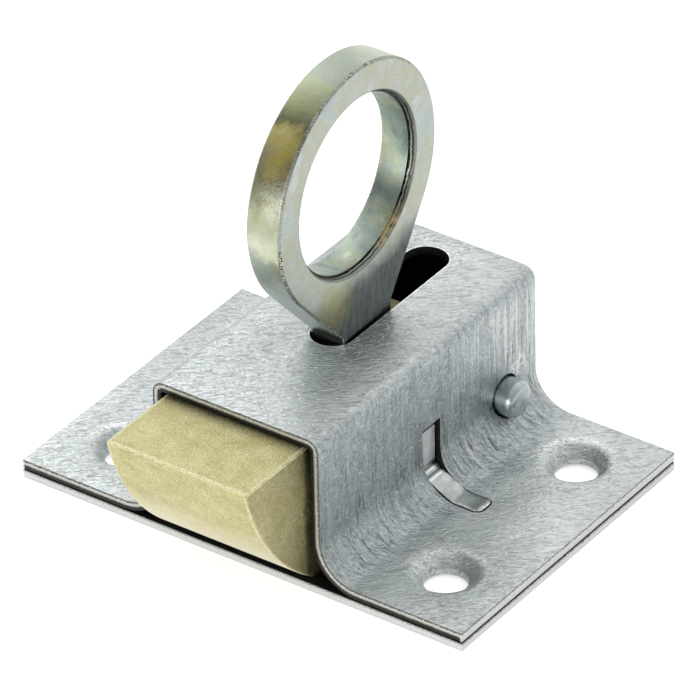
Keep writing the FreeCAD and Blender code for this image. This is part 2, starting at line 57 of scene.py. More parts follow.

# %% [markdown]
# Some of the sizes that several cells share are read from the nodes' boxes. Each box is a pair of corners
# in metres.

# %% Read the places that the cells below share
case_low, case_high = (Vector(corner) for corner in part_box("latch_case"))
plate_low, plate_high = (Vector(corner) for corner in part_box("base_plate"))
bolt_low, bolt_high = (Vector(corner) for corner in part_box("latch_bolt"))
ring_low, ring_high = (Vector(corner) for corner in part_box("pull_ring"))
spring_low, spring_high = (Vector(corner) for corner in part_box("bolt_spring"))

# %% [markdown]
# ## Tools for the finishes
# A finish is a small network of nodes. One function adds any node, sets its properties and fills its
# inputs, each with a plain value or with the output of another node, so that a network reads from top to
# bottom like a recipe. Colours are written as sRGB hex, the way a colour picker shows them, and are
# turned into the linear values that Blender's sockets hold.

# %% Colours and nodes
XYZ = ("X", "Y", "Z")


def linear(hex_colour):
    channels = [int(hex_colour[place:place + 2], 16) / 255 for place in (1, 3, 5)]
    return tuple(c / 12.92 if c <= 0.04045 else ((c + 0.055) / 1.055) ** 2.4 for c in channels) + (1.0,)


def plug(tree, source, socket):
    """Link another node's output to a socket, or set the socket's own value."""
    if isinstance(source, bpy.types.NodeSocket):
        tree.links.new(source, socket)
    else:
        socket.default_value = source


def add_node(tree, kind, *sources, out=None, stops=(), **named):
    """Add a node and return its first output, or the one or the several that out names.

    The sources fill the node's inputs in order. A name that starts with a capital is an input too, and
    any other name is a property of the node. Stops are the positions and hex colours of a ramp.
    """
    node = tree.nodes.new(kind if "Node" in kind else "ShaderNode" + kind)
    for name, setting in named.items():
        if name[0].islower():
            setattr(node, name, setting)
    while stops and len(node.color_ramp.elements) < len(stops):
        node.color_ramp.elements.new(0.5)
    for place, (position, hex_colour) in enumerate(stops):
        node.color_ramp.elements[place].position = position
        node.color_ramp.elements[place].color = linear(hex_colour)
    for source, socket in zip(sources, [socket for socket in node.inputs if socket.enabled]):
        plug(tree, source, socket)
    for name, source in named.items():
        if name[0].isupper():
            plug(tree, source, node.inputs[name.replace("_", " ")])
    if out is None:
        return next(socket for socket in node.outputs if socket.enabled)
    return node.outputs[out] if isinstance(out, str) else [node.outputs[name] for name in out]


# %% [markdown]
# Most marks on the latch are painted through masks: values from 0 to 1 that say where a mark lies. Masks
# are multiplied to narrow a mark down, and a layer of colour is laid through the result. Irregular
# patterns come from noise, whose size is always given in millimetres on the real piece.

# %% Masks, layers of colour and grain
def product(tree, *factors):
    """Multiply any number of masks or values together."""
    result = factors[0]
    for factor in factors[1:]:
        result = add_node(tree, "Math", result, factor, operation="MULTIPLY")
    return result


def layer(tree, under, over, mask, amount=None):
    """Lay one colour over another through a mask, thinned to an amount. A hex colour may be on top."""
    over = linear(over) if isinstance(over, str) else over
    mask = mask if amount is None else product(tree, mask, amount)
    return add_node(tree, "Mix", mask, under, over, data_type="RGBA")


def grain(tree, place, size_mm, detail=4.0, stretch=(1, 1, 1), distortion=0.0, roughness=0.5):
    """Noise whose features measure about size_mm, drawn out by the stretch factors."""
    scales = tuple(1 / (size_mm * MM * factor) for factor in stretch)
    scaled = add_node(tree, "Mapping", Vector=place, Scale=scales)
    return add_node(tree, "TexNoise", Vector=scaled, Scale=1.0, Detail=detail, Roughness=roughness,
                    Distortion=distortion)


# %% Start and finish a material
def new_material(name):
    material = bpy.data.materials.new(name)
    material.use_nodes = True
    tree = material.node_tree
    return material, tree, add_node(tree, "TexCoord", out="Object")


def fill_shader(tree, colour, metallic, roughness, height, depth_mm):
    """Fill the Principled shader, with a relief of the given depth in its normal."""
    relief = add_node(tree, "Bump", Strength=1.0, Distance=depth_mm * MM, Height=height)
    shader = tree.nodes["Principled BSDF"]
    for name, source in (("Base Color", colour), ("Metallic", metallic), ("Roughness", roughness),
                         ("Normal", relief)):
        plug(tree, source, shader.inputs[name])


# %% [markdown]
# ## Galvanised sheet
# The case and the plate are hot-dip galvanised steel. The zinc is a light cool grey with a satin sheen.
# Rolling after the dip leaves a skin of fine creases, from half a millimetre to two millimetres long,
# that lie mostly one way across the sheet. They are a relief, so they go into the bump, and the colour
# also has painted shade in the furrows and a painted highlight on the ridges. They could be modelled, but
# nothing on them is deep enough to change an outline.

# %% The rolled skin of the sheet
ZINC = {"shade": "#c1c9ca", "body": "#d1d8d8", "light": "#e3e9e8", "bright": "#f9fdfc", "furrow": "#4f5756",
        "drawn": "#b3bcbe", "worn": "#899194", "dull": "#6c7577"}
SKIN_SLANT, CROSS_SLANT = math.radians(-36), math.radians(-45)


def dashes(tree, place, length_mm, width_mm):
    """Noise drawn out into flecks. Its low values are short furrows and its high values short ridges."""
    waves = grain(tree, place, width_mm, detail=3, stretch=(length_mm / width_mm, 1.0, 1.5), distortion=0.9)
    return add_node(tree, "MapRange", waves, 0.41, 0.34), add_node(tree, "MapRange", waves, 0.59, 0.67)


def rolled_skin(tree, place):
    """The colour of the flat zinc, its furrows and ridges, its slow clouds and its relief."""
    slanted = add_node(tree, "Mapping", Vector=place, Rotation=(0, 0, SKIN_SLANT))
    crossed = add_node(tree, "Mapping", Vector=place, Rotation=(0, 0, CROSS_SLANT))
    fine = grain(tree, slanted, 0.22, stretch=(2.2, 1.0, 1.2), roughness=0.65)
    dents = grain(tree, slanted, 0.55, detail=3, stretch=(1.8, 1.0, 1.2), distortion=1.2)
    clouds = grain(tree, place, 6.0, detail=3)
    furrow, ridge = dashes(tree, slanted, 1.1, 0.28)
    long_furrow, long_ridge = dashes(tree, crossed, 2.0, 0.42)
    furrow = add_node(tree, "Math", furrow, product(tree, long_furrow, 0.8), operation="MAXIMUM")
    ridge = add_node(tree, "Math", ridge, product(tree, long_ridge, 0.8), operation="MAXIMUM")
    speckled = add_node(tree, "ValToRGB", fine,
                        stops=((0.32, ZINC["shade"]), (0.50, ZINC["body"]), (0.68, ZINC["light"])))
    clouded = add_node(tree, "ValToRGB", clouds, stops=((0.32, ZINC["body"]), (0.68, ZINC["light"])))
    creases = add_node(tree, "Math", ridge, furrow, operation="SUBTRACT")
    relief = add_node(tree, "Math", product(tree, fine, 0.25), creases, operation="ADD")
    relief = add_node(tree, "Math", relief, product(tree, dents, 2.2), operation="ADD")
    return layer(tree, speckled, clouded, 0.5), furrow, ridge, clouds, relief


# %% [markdown]
# Where the sheet was drawn over the die, on the walls and round the bends, it carries strokes that follow
# the drawing direction. They are broken scratches four to fourteen millimetres long and from a quarter of
# a millimetre to three quarters wide. A coordinate that runs along the bent section, side minus height,
# makes them turn with the bend at the foot of the wall.

# %% Strokes of the drawing die
def drawn_strokes(tree, along, section, width_mm, length_mm, distortion=0.5):
    across_stroke = add_node(tree, "Math", along, width_mm * MM, operation="DIVIDE")
    down_stroke = add_node(tree, "Math", section, length_mm * MM, operation="DIVIDE")
    return add_node(tree, "TexNoise", noise_dimensions="2D", Scale=1.0, Detail=3.0, Roughness=0.6,
                    Distortion=distortion, Vector=add_node(tree, "CombineXYZ", across_stroke, down_stroke))


def drawn_wall(tree, place, along, section):
    """The colour of the drawn wall, darker than the top partly as painted shade, and the strokes that it is
    made from.
    """
    strokes = drawn_strokes(tree, along, section, 0.26, 5.0)
    broad = drawn_strokes(tree, along, section, 0.60, 11.0, 0.8)
    dragged, dragged_broad = (
        add_node(tree, "ValToRGB", source, stops=((low, ZINC["worn"]), (low + 0.14, ZINC["drawn"]),
                                                  (low + 0.28, ZINC["light"])))
        for source, low in ((strokes, 0.36), (broad, 0.38)))
    quiet = add_node(tree, "ValToRGB", grain(tree, place, 0.9), stops=((0.36, ZINC["drawn"]),
                                                                       (0.64, ZINC["body"])))
    dragged = layer(tree, dragged, dragged_broad, 0.5)
    return layer(tree, dragged, layer(tree, quiet, ZINC["worn"], 0.45), 0.62), strokes


# %% [markdown]
# The case also carries marks that belong to one place each. Each of the four sinks has painted shade
# on its side away from the window, and on its rim towards the window a painted highlight broken into
# flecks. The pin was staked, and the blow smeared the zinc beside it. The slot has a painted highlight
# round its rim, the rear of the walls is streaked and has a painted highlight along its edge, one flange
# has a painted highlight in the middle, and the bend on the left has painted shade. Each is a mask with
# its own place and reach.

# %% Masks for the sinks and the slot
SLOT_FROM, SLOT_TO, SLOT_HALF = -5.0 * MM, 18.27 * MM, 2.65 * MM
HOLE_X, HOLE_MIDDLE, HOLE_HALF_PITCH = 21.9 * MM, 0.45 * MM, 12.85 * MM


def outside_the_slot(tree, across, along):
    """Distance outside the slot in the top of the case. It is negative inside the slot."""
    middle = add_node(tree, "Clamp", along, SLOT_FROM + SLOT_HALF, SLOT_TO - SLOT_HALF)
    spot = add_node(tree, "CombineXYZ", across, add_node(tree, "Math", along, middle, operation="SUBTRACT"))
    reach = add_node(tree, "VectorMath", spot, operation="LENGTH")
    return add_node(tree, "Math", reach, SLOT_HALF, operation="SUBTRACT")


def sink_masks(tree, place, across, along):
    """Masks for the painted shade on the far side of every sink and for the painted highlight, in flecks, at
    its lit rim.
    """
    outward = add_node(tree, "Math", add_node(tree, "Math", across, operation="ABSOLUTE"), HOLE_X,
                       operation="SUBTRACT")
    past_middle = add_node(tree, "Math", along, HOLE_MIDDLE, operation="SUBTRACT")
    off_pitch = add_node(tree, "Math", add_node(tree, "Math", past_middle, operation="ABSOLUTE"),
                         HOLE_HALF_PITCH, operation="SUBTRACT")
    rearward = product(tree, off_pitch, add_node(tree, "Math", past_middle, operation="SIGN"))
    rightward = product(tree, outward, add_node(tree, "Math", across, operation="SIGN"))
    reach = add_node(tree, "VectorMath", add_node(tree, "CombineXYZ", outward, rearward), operation="LENGTH")
    rim = product(tree, add_node(tree, "MapRange", reach, 3.7 * MM, 4.3 * MM),
                  add_node(tree, "MapRange", reach, 5.3 * MM, 4.6 * MM))
    lit = add_node(tree, "Math", product(tree, rearward, 0.81), product(tree, rightward, 0.59),
                   operation="SUBTRACT")
    flecks = add_node(tree, "MapRange", grain(tree, place, 0.45), 0.40, 0.54)
    far_side = add_node(tree, "Math", product(tree, rightward, 0.85), product(tree, rearward, 0.35),
                        operation="ADD")
    shaded_far_side = product(tree, add_node(tree, "MapRange", reach, 4.5 * MM, 3.9 * MM),
                     add_node(tree, "MapRange", far_side, -1.6 * MM, 1.4 * MM))
    return shaded_far_side, product(tree, rim, add_node(tree, "MapRange", lit, 0.8 * MM, 3.4 * MM), flecks)


# %% Marks that belong to one place on the case
half_channel = 11.2 * MM
STAKED_AT = (half_channel, 17.4 * MM, 9.4 * MM)
FLANGE_HIGHLIGHT_AT = (24.0 * MM, 0.5 * MM, 2.35 * MM)


def marks_of_the_case(tree, colour, place, on_wall, across, along, height, section):
    streaks = add_node(tree, "MapRange", drawn_strokes(tree, along, section, 0.45, 14.0, 0.6), 0.50, 0.64)
    high_rear = product(tree, add_node(tree, "MapRange", along, 2.0 * MM, 15.0 * MM),
                        add_node(tree, "MapRange", height, 8.5 * MM, 12.0 * MM),
                        add_node(tree, "MapRange", height, 19.6 * MM, 17.6 * MM))
    colour = layer(tree, colour, ZINC["bright"], product(tree, streaks, high_rear), 0.62)
    from_pin = add_node(tree, "VectorMath", place, STAKED_AT, operation="DISTANCE")
    smear = product(tree, add_node(tree, "MapRange", from_pin, 2.3 * MM, 0.8 * MM),
                    add_node(tree, "MapRange", grain(tree, place, 0.55, distortion=0.6), 0.44, 0.56))
    colour = layer(tree, colour, ZINC["bright"], smear, 0.8)
    # Painted highlight in the middle of the right flange.
    from_patch = add_node(tree, "VectorMath", place, FLANGE_HIGHLIGHT_AT, operation="DISTANCE")
    painted_highlight_patch = add_node(tree, "MapRange", from_patch, 8.5 * MM, 3.0 * MM, 0.0, 0.45)
    colour = layer(tree, colour, ZINC["bright"], painted_highlight_patch)
    # Painted shade on the far side of each sink, and a flecked painted highlight on its lit rim.
    shaded_far_side, lit_rim_highlight = sink_masks(tree, place, across, along)
    colour = layer(tree, colour, "#b5b2aa", shaded_far_side, 0.55)
    colour = layer(tree, colour, "#ffffff", lit_rim_highlight, 0.9)
    # Painted shade on the bend at the left of the top.
    left_bend_shade = product(tree, add_node(tree, "MapRange", across, -9.6 * MM, -10.4 * MM),
                        add_node(tree, "MapRange", height, 17.5 * MM, 18.5 * MM))
    colour = layer(tree, colour, ZINC["worn"], left_bend_shade, 0.40)
    off_slot = outside_the_slot(tree, across, along)
    # Painted highlight round the rim of the slot.
    slot_rim_highlight = product(tree, add_node(tree, "MapRange", off_slot, 0.0, 0.02 * MM),
                   add_node(tree, "MapRange", off_slot, 0.20 * MM, 0.10 * MM),
                   add_node(tree, "MapRange", height, case_high.z - 0.2 * MM, case_high.z - 0.1 * MM))
    colour = layer(tree, colour, "#ffffff", slot_rim_highlight, 0.9)
    # Painted highlight along the rear edge of the walls.
    rear_edge_highlight = product(tree, add_node(tree, "MapRange", along, case_high.y - 1.1 * MM, case_high.y - 0.8 * MM),
                   on_wall)
    return layer(tree, colour, ZINC["bright"], rear_edge_highlight, 0.2)


# %% [markdown]
# The parts are now put together. The skin comes first, the drawn wall over it, then the furrows and
# ridges, then the scratches that gather low on the wall, and last the marks of the case. The flat plate
# takes the same recipe with no drawn wall.

# %% Galvanised steel material
def galvanised_steel(name, drawn):
    """Drawn is 1 for the case, which has walls, and 0 for the flat plate."""
    material, tree, place = new_material(name)
    across, along, height = add_node(tree, "SeparateXYZ", place, out=XYZ)
    side = add_node(tree, "Math", across, operation="ABSOLUTE")
    section = add_node(tree, "Math", side, height, operation="SUBTRACT")
    on_wall = product(tree, add_node(tree, "MapRange", height, 20.5 * MM, 19.4 * MM),
                      add_node(tree, "MapRange", side, 18.5 * MM, 13.5 * MM),
                      add_node(tree, "MapRange", side, 9.4 * MM, 10.0 * MM), drawn)
    colour, furrow, ridge, clouds, relief = rolled_skin(tree, place)
    wall_colour, strokes = drawn_wall(tree, place, along, section)
    # The walls and bends take a darker tone than the top and the flange: partly the drawn finish, partly
    # painted shade of the sides.
    colour = layer(tree, colour, wall_colour, on_wall, 0.85)
    dull = drawn_strokes(tree, along, section, 0.75, 12.0, 0.7)
    dull = product(tree, add_node(tree, "MapRange", dull, 0.44, 0.36), on_wall)
    colour = layer(tree, colour, ZINC["dull"], dull, 0.30)
    # Painted shade in the furrows and painted highlight on the ridges of the rolled skin.
    colour = layer(tree, colour, ZINC["furrow"], furrow, 0.36)
    colour = layer(tree, colour, ZINC["bright"], ridge, 0.45)
    low_down = product(tree, add_node(tree, "MapRange", height, 14.0 * MM, 5.0 * MM, 0.45, 1.0),
                       add_node(tree, "MapRange", side, 16.0 * MM, 13.5 * MM))
    gathered = add_node(tree, "MapRange", grain(tree, place, 3.4, detail=3), 0.42, 0.54)
    scratch = drawn_strokes(tree, along, section, 0.30, 4.4, 0.8)
    scratch = product(tree, add_node(tree, "MapRange", scratch, 0.41, 0.35), gathered, low_down, on_wall)
    colour = layer(tree, colour, ZINC["furrow"], scratch, 0.8)
    if drawn:
        colour = marks_of_the_case(tree, colour, place, on_wall, across, along, height, section)
    relief = product(tree, relief, add_node(tree, "MapRange", on_wall, 0.0, 1.0, 1.0, 0.55))
    drag_relief = add_node(tree, "Math", product(tree, strokes, 0.7), scratch, operation="SUBTRACT")
    relief = add_node(tree, "Math", relief, product(tree, drag_relief, on_wall), operation="ADD")
    roughness = add_node(tree, "MapRange", clouds, 0.3, 0.7, 0.32, 0.40)
    fill_shader(tree, colour, 1.0, roughness, relief, 0.070)
    return material


case_zinc = galvanised_steel("galvanised_sheet_drawn_over_the_die", 1.0)
plate_zinc = galvanised_steel("galvanised_sheet_flat", 0.0)
print("nodes in the zinc of the case", len(case_zinc.node_tree.nodes))

# %% [markdown]
# Between the two sheets, and inside the channel, the zinc is painted dark and dull as painted shade,
# so the seam between the sheets reads as a black line. Handling has rubbed the zinc bright on every outer
# corner of the sheet: round the slot, along the outline and round the tongues.

# %% Painted shade inside the latch, and rubbed zinc on its edges
# A dark, dull zinc painted as shade, for the faces inside the latch and between its sheets.
def painted_shade_zinc(name):
    material, tree, place = new_material(name)
    film = grain(tree, place, 1.8, roughness=0.6)
    colour = add_node(tree, "ValToRGB", film, stops=((0.30, "#101211"), (0.55, "#1b1e1d"), (0.75, "#2b2f2d")))
    fill_shader(tree, colour, 0.3, 0.65, film, 0.02)
    return material


def rubbed_zinc(name):
    material, tree, place = new_material(name)
    nicks = grain(tree, place, 0.25, roughness=0.7)
    colour = add_node(tree, "ValToRGB", nicks, stops=((0.34, "#8b9394"), (0.46, "#cfd5d4"), (0.62, "#f4f7f6")))
    fill_shader(tree, colour, 1.0, 0.36, nicks, 0.04)
    return material


inner_shade_zinc = painted_shade_zinc("painted_shade_inner_face")
rubbed_edge = rubbed_zinc("galvanised_sheet_rubbed_edge")

# %% [markdown]
# The cut edges of the sheet are where the punch went through. Next to the outer face the cut has a dark
# band of painted shade, then comes a bright burnished band, and the torn rest is grainy and dull; on the
# case it darkens towards the inner face as painted shade. The sheet's mesh carries the depth of each point
# in the sheet, from 0 at the outer face to 1 at the inner one, and the bands follow it. The long sides of
# the case were sheared clean and are painted bright all through, partly as painted light, with painted
# shade at the outer corner.

# %% Sheared edge material
def sheared_steel(name, lit_side_amount, stops):
    material, tree, place = new_material(name)
    depth = add_node(tree, "Attribute", attribute_name="sheet_depth", out="Fac")
    tears = grain(tree, place, 0.15, stretch=(1.5, 1.0, 1.5), roughness=0.7)
    waver = product(tree, add_node(tree, "Math", tears, 0.5, operation="SUBTRACT"), 0.8)
    ragged = add_node(tree, "Math", depth, waver, operation="ADD")
    side = add_node(tree, "Math", add_node(tree, "SeparateXYZ", place), operation="ABSOLUTE")
    on_side = add_node(tree, "MapRange", side, case_high.x - 0.3 * MM, case_high.x - 0.1 * MM)
    # The clean sides are painted bright, partly as painted light, with painted shade at the outer corner.
    clean_and_lit = add_node(tree, "ValToRGB", ragged, stops=((0.08, "#343633"), (0.20, "#dadcd8"), (0.40, "#ffffff"),
                                                      (0.90, "#dcdeda")))
    bands = layer(tree, add_node(tree, "ValToRGB", ragged, stops=stops), clean_and_lit, on_side, lit_side_amount)
    marks = add_node(tree, "ValToRGB", tears, stops=((0.36, "#5d625c"), (0.50, "#b3b5ae"), (0.62, "#ffffff")))
    torn = add_node(tree, "MapRange", depth, 0.66, 0.50, 0.04, 0.26)
    fill_shader(tree, layer(tree, bands, marks, torn), 0.45, 0.5, tears, 0.04)
    return material


# Painted shade next to the outer face and towards the inner face, with a bright burnished band between.
CASE_BANDS = ((0.06, "#101210"), (0.15, "#1c1f1c"), (0.23, "#b4b5ab"), (0.36, "#efefe8"), (0.50, "#c9c8bd"),
              (0.58, "#5c5c52"), (0.66, "#0c0d0a"))
# Painted shade at the face that lies against the flange, then bright.
PLATE_BANDS = ((0.05, "#3c3f3c"), (0.20, "#dfe1de"), (0.40, "#ffffff"), (0.95, "#e9ebe8"))
cut_edge = sheared_steel("sheared_steel_edge_case", 1.0, CASE_BANDS)
plate_edge = sheared_steel("sheared_steel_edge_plate", 0.0, PLATE_BANDS)

# %% [markdown]
# ## Cast bolt
# The bolt is a small pressure casting, brass-toned and tumbled, so its faces are matt with a fine grit
# of about a fifth of a millimetre, a few pits, and bright specks about half a millimetre apart that are
# painted glints. Its corners are rubbed bright and carry a painted highlight, and the foot of its nose has
# a painted highlight. Painted shade lies where the bolt leaves the case and along the foot of its sides,
# and a lighter painted shade over its sides. Each of these lies at a known distance from an edge of the
# bolt or from the mouth of the case, so a mask is made from that distance.

# %% Masks on the casting
def shade_on_bolt_mask(tree, grit, blurred, on_side, along, height):
    """Painted shade at the mouth of the case and at the foot of the sides, with a lighter painted shade over
    the sides.
    """
    out_there = add_node(tree, "Math", along, blurred, operation="ADD")
    up_there = add_node(tree, "Math", height, blurred, operation="ADD")
    nearer = add_node(tree, "MapRange", out_there, case_low.y - 2.4 * MM, case_low.y - 0.1 * MM)
    at_mouth = product(tree, nearer, nearer, 0.96)
    foot = product(tree, on_side, add_node(tree, "MapRange", up_there, 4.2 * MM, 1.3 * MM, 0.0, 0.85))
    haze = product(tree, on_side, add_node(tree, "MapRange", out_there, case_low.y - 8 * MM,
                                           case_low.y - 1 * MM, 0.18, 0.50))
    painted_bolt_shade = add_node(tree, "Math", at_mouth, foot, operation="MAXIMUM")
    painted_bolt_shade = add_node(tree, "Math", painted_bolt_shade, haze, operation="MAXIMUM")
    return product(tree, painted_bolt_shade, add_node(tree, "MapRange", grit, 0.35, 0.65, 1.0, 0.65)), up_there


def worn_edge_highlight_mask(tree, place, off_side, side, along, height):
    """Narrow broken lines along the flanks, the top and the nose, where the corners are rubbed bright and
    carry a painted highlight.
    """
    near_flank = product(tree, off_side, add_node(tree, "MapRange", side, bolt_high.x - 0.52 * MM,
                                                  bolt_high.x - 0.30 * MM))
    below_top = add_node(tree, "MapRange", height, bolt_high.z - 0.05 * MM, bolt_high.z - 0.10 * MM)
    near_top = product(tree, below_top, add_node(tree, "MapRange", height, bolt_high.z - 0.26 * MM,
                                                 bolt_high.z - 0.15 * MM))
    near_nose = product(tree, add_node(tree, "Math", 1.0, below_top, operation="SUBTRACT"),
                        add_node(tree, "MapRange", along, bolt_low.y + 0.50 * MM, bolt_low.y + 0.30 * MM))
    worn = add_node(tree, "Math", near_top, near_nose, operation="MAXIMUM")
    worn = add_node(tree, "Math", near_flank, worn, operation="MAXIMUM")
    return product(tree, worn, add_node(tree, "MapRange", grain(tree, place, 0.30, roughness=0.7), 0.40, 0.50))


# %% Brass-toned casting materials
def tumbled_casting(name, dark, body, light, pit, glint_tone, roughness, pit_depth):
    material, tree, place = new_material(name)
    across, along, height = add_node(tree, "SeparateXYZ", place, out=XYZ)
    side = add_node(tree, "Math", across, operation="ABSOLUTE")
    on_side = add_node(tree, "MapRange", side, bolt_high.x - 0.30 * MM, bolt_high.x - 0.05 * MM)
    off_side = add_node(tree, "Math", 1.0, on_side, operation="SUBTRACT")
    grit = grain(tree, place, 0.20, roughness=0.75)
    patches = grain(tree, place, 2.6, detail=5, roughness=0.6)
    distance, cell_colour = add_node(tree, "TexVoronoi", Vector=place, Scale=1 / (0.55 * MM), Randomness=1.0,
                                     out=("Distance", "Color"))
    chosen_pit, chosen_glint = add_node(tree, "SeparateColor", cell_colour, out=("Red", "Green"))
    dots = add_node(tree, "MapRange", distance, 0.10, 0.24, 1.0, 0.0)
    pits = product(tree, dots, add_node(tree, "MapRange", chosen_pit, 0.80, 0.84))
    glint_dots = product(tree, dots, add_node(tree, "MapRange", chosen_glint, 0.46, 0.50))
    gritty = add_node(tree, "ValToRGB", grit, stops=((0.36, dark), (0.50, body), (0.64, light)))
    patchy = add_node(tree, "ValToRGB", patches, stops=((0.34, dark), (0.66, light)))
    colour = layer(tree, gritty, patchy, 0.35)
    colour = layer(tree, colour, pit, pits, 0.6)
    # Bright specks painted as glints.
    colour = layer(tree, colour, glint_tone, glint_dots, 0.9)
    blurred = product(tree, add_node(tree, "Math", patches, 0.5, operation="SUBTRACT"), 1.6 * MM)
    painted_bolt_shade, up_there = shade_on_bolt_mask(tree, grit, blurred, on_side, along, height)
    # Painted highlight on the foot of the nose.
    nose_foot_highlight = product(tree, off_side, add_node(tree, "MapRange", up_there, 12.0 * MM, 4.0 * MM),
                       add_node(tree, "MapRange", grit, 0.30, 0.50, 0.7, 1.0))
    colour = layer(tree, colour, "#fffbe3", nose_foot_highlight)
    # Painted shade at the mouth of the case, at the foot of the sides and over the sides.
    colour = layer(tree, colour, "#2e2a14", painted_bolt_shade)
    # Painted highlight along the rubbed corners.
    worn = worn_edge_highlight_mask(tree, place, off_side, side, along, height)
    colour = layer(tree, colour, "#fffbd0", worn, 0.9)
    relief = add_node(tree, "Math", grit, product(tree, pits, 0.9), operation="SUBTRACT")
    relief = add_node(tree, "Math", relief, product(tree, glint_dots, 0.5), operation="ADD")
    gloss = add_node(tree, "MapRange", grit, 0.3, 0.7, roughness - 0.06, roughness + 0.08)
    fill_shader(tree, colour, 0.4, gloss, relief, pit_depth)
    return material


casting = tumbled_casting("brass_toned_casting_tumbled", "#b3a96b", "#dad194", "#f6efbf", "#71693c",
                          "#fffce6", 0.50, 0.08)
# The rounded edges take a lighter casting, rubbed and partly painted highlight.
worn_and_highlit_casting = tumbled_casting("brass_toned_casting_rubbed_highlit_edge", "#9b914c", "#e4db98", "#fff9cc", "#8f8758",
                               "#ffffff", 0.34, 0.05)

# %% [markdown]
# ## Passivated ring
# Zinc plating with a thin yellow passivation shows interference colours: straw yellow, olive, brown and
# violet drift over the grey metal in soft bands some five millimetres across. The bands lie round the
# rim, where the film dried while the ring hung by its neck. The colour belongs to the film, so it is
# painted in the base colour, and the gloss stays that of satin zinc. On the rim the film is a ramp over
# the angle round the ring, swayed by noise. On the faces and in the eye it is slow noise alone. The neck
# has streaky painted shade over it, with a straw patch at its front.

# %% Film of the ring
ring_middle = Vector((0, (ring_low.y + ring_high.y) / 2, ring_high.z - (ring_high.y - ring_low.y) / 2))
STRAW_AT = (ring_high.x, ring_middle.y - 5.2 * MM, ring_middle.z - 13.2 * MM)
RIM_FILM = ((0.014, "#b9c4b6"), (0.083, "#b0b6b6"), (0.139, "#b4bbb9"), (0.172, "#bac2b4"),
            (0.194, "#9aa69e"), (0.212, "#a2ac9f"), (0.232, "#dfe5c9"), (0.259, "#b9bfa4"),
            (0.283, "#b2b594"), (0.306, "#8f8e74"), (0.328, "#908c5e"), (0.350, "#b3a874"),
            (0.372, "#c8ba5c"), (0.403, "#5e5b3a"), (0.425, "#858a60"), (0.456, "#9ca581"),
            (0.481, "#9ca298"), (0.506, "#a7b2a2"), (0.56, "#c9d2bd"), (0.75, "#b3bba6"), (0.95, "#bcc6ba"))
EYE_FILM = ((0.34, "#75857c"), (0.48, "#98a89b"), (0.60, "#a5ac8c"), (0.72, "#c3cdc3"))
FACE_FILM = ((0.34, "#abb6b6"), (0.46, "#b7c0b8"), (0.54, "#b5b79c"), (0.62, "#b5b6ad"), (0.72, "#c3cbc4"))


def rim_film(tree, drift, across, ahead, above):
    """The film by its angle round the ring, darker beside the face on the right."""
    angle = add_node(tree, "Math", ahead, above, operation="ARCTAN2")
    turn = add_node(tree, "Math", angle, 2 * math.pi, operation="DIVIDE")
    sway = product(tree, add_node(tree, "Math", drift, 0.5, operation="SUBTRACT"), 0.11)
    turn = add_node(tree, "Math", turn, sway, operation="ADD")
    turn = add_node(tree, "Math", turn, 0.5, operation="ADD")
    near_face = product(tree, add_node(tree, "MapRange", across, 0.2 * MM, 1.7 * MM),
                        add_node(tree, "MapRange", turn, 0.262, 0.282),
                        add_node(tree, "MapRange", turn, 0.385, 0.36))
    return layer(tree, add_node(tree, "ValToRGB", turn, stops=RIM_FILM), "#6f675a", near_face, 0.55)


def shaded_neck(tree, colour, place, drift, metal, ahead, above):
    """Streaky painted shade over the neck, and the straw patch on its front."""
    streaks = grain(tree, place, 0.6, stretch=(1.0, 1.0, 3.0))
    neck_shade = add_node(tree, "ValToRGB", streaks, stops=((0.32, "#4d5453"), (0.52, "#5d6564"), (0.70, "#6e7674")))
    # Painted shade over the neck, darker further down, with streaks.
    level = add_node(tree, "Math", above, product(tree, ahead, -0.12), operation="ADD")
    level = add_node(tree, "Math", level, product(tree, drift, 4.0 * MM), operation="ADD")
    colour = layer(tree, colour, neck_shade, add_node(tree, "MapRange", level, -8.0 * MM, -11.5 * MM, 0.0, 0.95))
    from_patch = add_node(tree, "VectorMath", place, STRAW_AT, operation="DISTANCE")
    straw = product(tree, add_node(tree, "MapRange", from_patch, 4.6 * MM, 1.2 * MM),
                    add_node(tree, "MapRange", metal, 0.35, 0.6))
    return layer(tree, colour, "#a39c5e", straw, 0.8)


# %% Passivated zinc materials
def passivated_zinc(name, where):
    material, tree, place = new_material(name)
    across, along, height = add_node(tree, "SeparateXYZ", place, out=XYZ)
    ahead = add_node(tree, "Math", along, ring_middle.y, operation="SUBTRACT")
    above = add_node(tree, "Math", height, ring_middle.z, operation="SUBTRACT")
    drift = grain(tree, place, 3.6, distortion=0.3, roughness=0.55)
    blotch = grain(tree, place, 3.4, detail=3, distortion=0.4)
    metal = grain(tree, place, 0.32, detail=5, roughness=0.7)
    silver = add_node(tree, "ValToRGB", metal, stops=((0.30, "#9ca49f"), (0.50, "#bcc3be"), (0.70, "#dbe0db")))
    if where == "rim":
        film = rim_film(tree, drift, across, ahead, above)
        cover = add_node(tree, "MapRange", drift, 0.30, 0.62, 0.70, 0.97)
    elif where == "eye":
        film = add_node(tree, "ValToRGB", blotch, stops=EYE_FILM)
        cover = add_node(tree, "MapRange", drift, 0.35, 0.65, 0.6, 0.95)
    else:
        film = add_node(tree, "ValToRGB", blotch, stops=FACE_FILM)
        cover = add_node(tree, "MapRange", drift, 0.36, 0.64, 0.45, 0.9)
    colour = layer(tree, silver, film, cover)
    if where == "face":
        colour = shaded_neck(tree, colour, place, drift, metal, ahead, above)
    relief = add_node(tree, "Math", metal, product(tree, blotch, 0.6), operation="ADD")
    fill_shader(tree, colour, 1.0, add_node(tree, "MapRange", metal, 0.3, 0.7, 0.26, 0.40), relief, 0.035)
    return material


